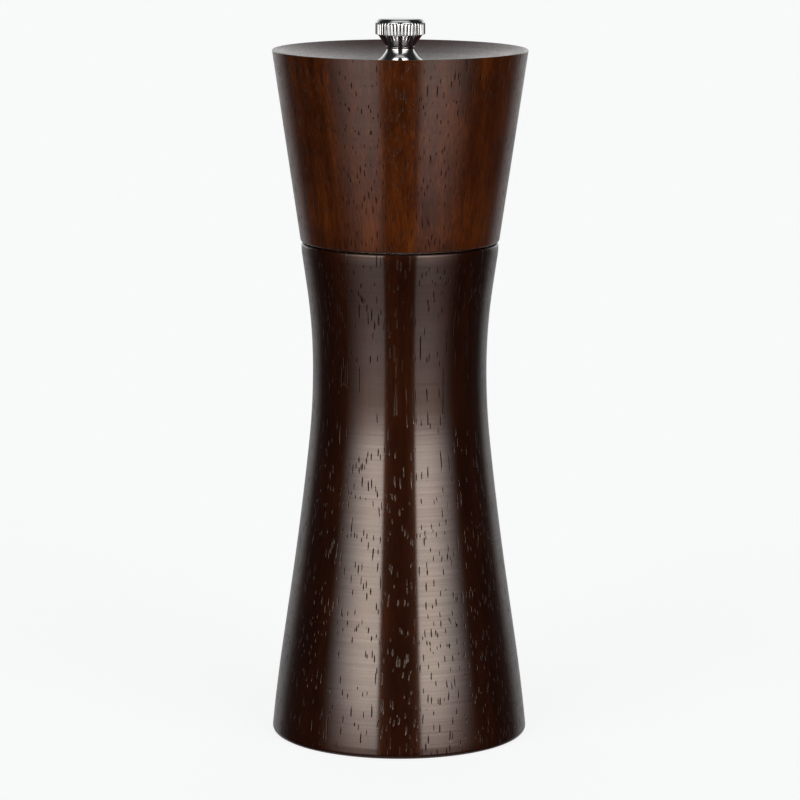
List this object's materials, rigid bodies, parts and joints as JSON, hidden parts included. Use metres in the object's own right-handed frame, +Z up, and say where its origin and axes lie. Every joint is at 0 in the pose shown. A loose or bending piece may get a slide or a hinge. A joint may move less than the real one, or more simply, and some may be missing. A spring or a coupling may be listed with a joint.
{
  "type": "pepper mill",
  "caption": "Turned wooden pepper mill with a flared body, a twist-to-grind head, a knurled fineness knob and a ceramic grinder in its foot.",
  "frame": {"origin": "middle of the foot, on the surface the mill stands on", "axes": "+Z up along the mill's turning axis, towards the knob; the mill is turned, so X and Y only fix where the screws sit"},
  "size_m": [0.071, 0.071, 0.2],
  "materials": {
    "body_wood": "dark stained, open-pored, satin lacquer",
    "head_wood": "dark stained, open-pored, satin lacquer",
    "knob_chrome": "polished",
    "seat_chrome": "polished",
    "black_nylon": "matte",
    "pale_nylon": "matte",
    "plate_steel": "stamped and brushed",
    "screw_steel": "bright zinc plated",
    "shaft_aluminium": "drawn",
    "housing_plastic": "moulded, fine texture",
    "carrier_plastic": "moulded, fine texture",
    "burr_ceramic": "fired, unglazed",
    "spring_steel": "drawn wire"
  },
  "bodies": {
    "body": {"wooden_body": "body_wood", "core_housing": "housing_plastic", "core_screws": "screw_steel", "shaft_bush": "pale_nylon", "stator_burr": "burr_ceramic", "stator_lock_ring": "housing_plastic", "spring_top_washer": "screw_steel", "spring": "spring_steel"},
    "glide_ring": {"glide_ring": "pale_nylon"},
    "head": {"wooden_head": "head_wood", "knob_seat": "seat_chrome", "drive_plate": "plate_steel", "drive_plate_screws": "screw_steel"},
    "knob": {"adjusting_knob": "knob_chrome", "knob_washer": "black_nylon"},
    "spring_seat": {"spring_seat_washer": "screw_steel"},
    "rotor": {"shaft": "shaft_aluminium", "rotor_carrier": "carrier_plastic", "rotor_burr": "burr_ceramic", "rotor_washer": "screw_steel", "rotor_screw": "screw_steel"}
  },
  "joints": [
    {"name": "head_turn", "type": "hinge", "parent": "body", "child": "glide_ring", "pos_m": [0, 0, 0.138], "axis": [0, 0, 1], "continuous": true},
    {"name": "head_lift", "type": "slide", "parent": "glide_ring", "child": "head", "axis": [0, 0, 1], "range_m": [0, 0.085]},
    {"name": "knob_turn", "type": "hinge", "parent": "head", "child": "knob", "pos_m": [0, 0, 0.1924], "axis": [0, 0, 1], "range_deg": [-360, 360]},
    {"name": "burr_gap", "type": "slide", "parent": "body", "child": "spring_seat", "axis": [0, 0, 1], "range_m": [-0.0008, 0.0008], "deforming": ["spring"]},
    {"name": "shaft_spin", "type": "hinge", "parent": "spring_seat", "child": "rotor", "pos_m": [0, 0, 0.03], "axis": [0, 0, 1], "continuous": true}
  ],
  "couplings": [
    {"joint": "knob_turn", "follows": "burr_gap", "rad_per_m": -7854},
    {"joint": "shaft_spin", "follows": "head_turn", "ratio": 1}
  ]
}
